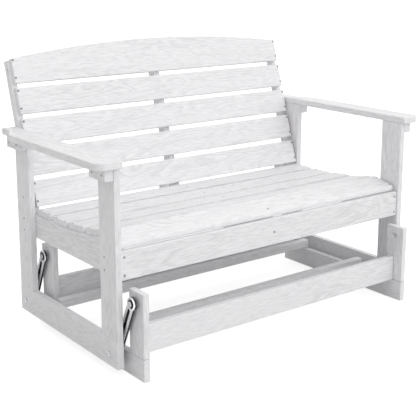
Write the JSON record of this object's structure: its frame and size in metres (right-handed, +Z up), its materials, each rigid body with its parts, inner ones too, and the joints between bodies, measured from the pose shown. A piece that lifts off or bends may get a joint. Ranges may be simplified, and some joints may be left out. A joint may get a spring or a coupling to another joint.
{
  "type": "glider bench",
  "caption": "Slatted garden glider bench: seat, back and armrests swing as one frame on steel arms hung from a fixed floor base.",
  "frame": {"origin": "floor level, at the middle of the bench's overall length and depth as drawn", "axes": "+X to the viewer's right across the bench, +Y from the front of the seat to the back, +Z up"},
  "size_m": [1.322, 0.8114, 0.9116],
  "materials": {
    "lumber": "white, embossed wood grain",
    "arm_steel": "bright plated",
    "bolt_steel": "zinc plated",
    "screw": "dull grey",
    "bushing": "satin"
  },
  "bodies": {
    "base": {"base_rail_left": "lumber", "base_rail_right": "lumber", "post_front_left": "lumber", "post_front_right": "lumber", "post_rear_left": "lumber", "post_rear_right": "lumber", "base_front_rail": "lumber", "base_rear_rail": "lumber", "stretcher_front": "lumber", "stretcher_rear": "lumber", "upper_bolts": "bolt_steel", "upper_nuts": "bolt_steel", "upper_spacers": "bolt_steel"},
    "glider": {"bottom_rail_left": "lumber", "bottom_rail_right": "lumber", "front_leg_left": "lumber", "front_leg_right": "lumber", "rear_leg_left": "lumber", "rear_leg_right": "lumber", "cleat_front_left": "lumber", "cleat_front_right": "lumber", "cleat_rear_left": "lumber", "cleat_rear_right": "lumber", "armrest_left": "lumber", "armrest_right": "lumber", "seat_rail_left": "lumber", "seat_rail_centre": "lumber", "seat_rail_right": "lumber", "apron": "lumber", "seat_slat_1": "lumber", "seat_slat_2": "lumber", "seat_slat_3": "lumber", "seat_slat_4": "lumber", "seat_slat_5": "lumber", "upright_left": "lumber", "upright_centre": "lumber", "upright_right": "lumber", "back_slat_1": "lumber", "back_slat_2": "lumber", "back_slat_3": "lumber", "back_slat_4": "lumber", "back_slat_5": "lumber", "lower_bolts": "bolt_steel", "lower_nuts": "bolt_steel", "lower_spacers": "bolt_steel", "seat_screws": "screw", "back_screws": "screw", "apron_screws": "screw", "frame_screws": "screw"},
    "arm_front_left": {"arm_front_left": "arm_steel", "bushings_front_left": "bushing"},
    "arm_front_right": {"arm_front_right": "arm_steel", "bushings_front_right": "bushing"},
    "arm_rear_left": {"arm_rear_left": "arm_steel", "bushings_rear_left": "bushing"},
    "arm_rear_right": {"arm_rear_right": "arm_steel", "bushings_rear_right": "bushing"}
  },
  "joints": [
    {"name": "glide", "type": "hinge", "parent": "base", "child": "arm_front_left", "pos_m": [-0.5675, -0.36721, 0.235], "axis": [-1, 0, 0], "range_deg": [0, 50]},
    {"name": "seat_hang", "type": "hinge", "parent": "arm_front_left", "child": "glider", "pos_m": [-0.5675, -0.28734, 0.06371], "axis": [-1, 0, 0], "range_deg": [-50, 0]},
    {"name": "glide_front_right", "type": "hinge", "parent": "base", "child": "arm_front_right", "pos_m": [0.5675, -0.36721, 0.235], "axis": [-1, 0, 0], "range_deg": [0, 50]},
    {"name": "glide_rear_left", "type": "hinge", "parent": "base", "child": "arm_rear_left", "pos_m": [-0.5675, 0.17279, 0.235], "axis": [-1, 0, 0], "range_deg": [0, 50]},
    {"name": "glide_rear_right", "type": "hinge", "parent": "base", "child": "arm_rear_right", "pos_m": [0.5675, 0.17279, 0.235], "axis": [-1, 0, 0], "range_deg": [0, 50]}
  ],
  "couplings": [
    {"joint": "seat_hang", "follows": "glide", "ratio": -1},
    {"joint": "glide_front_right", "follows": "glide", "ratio": 1},
    {"joint": "glide_rear_left", "follows": "glide", "ratio": 1},
    {"joint": "glide_rear_right", "follows": "glide", "ratio": 1}
  ]
}
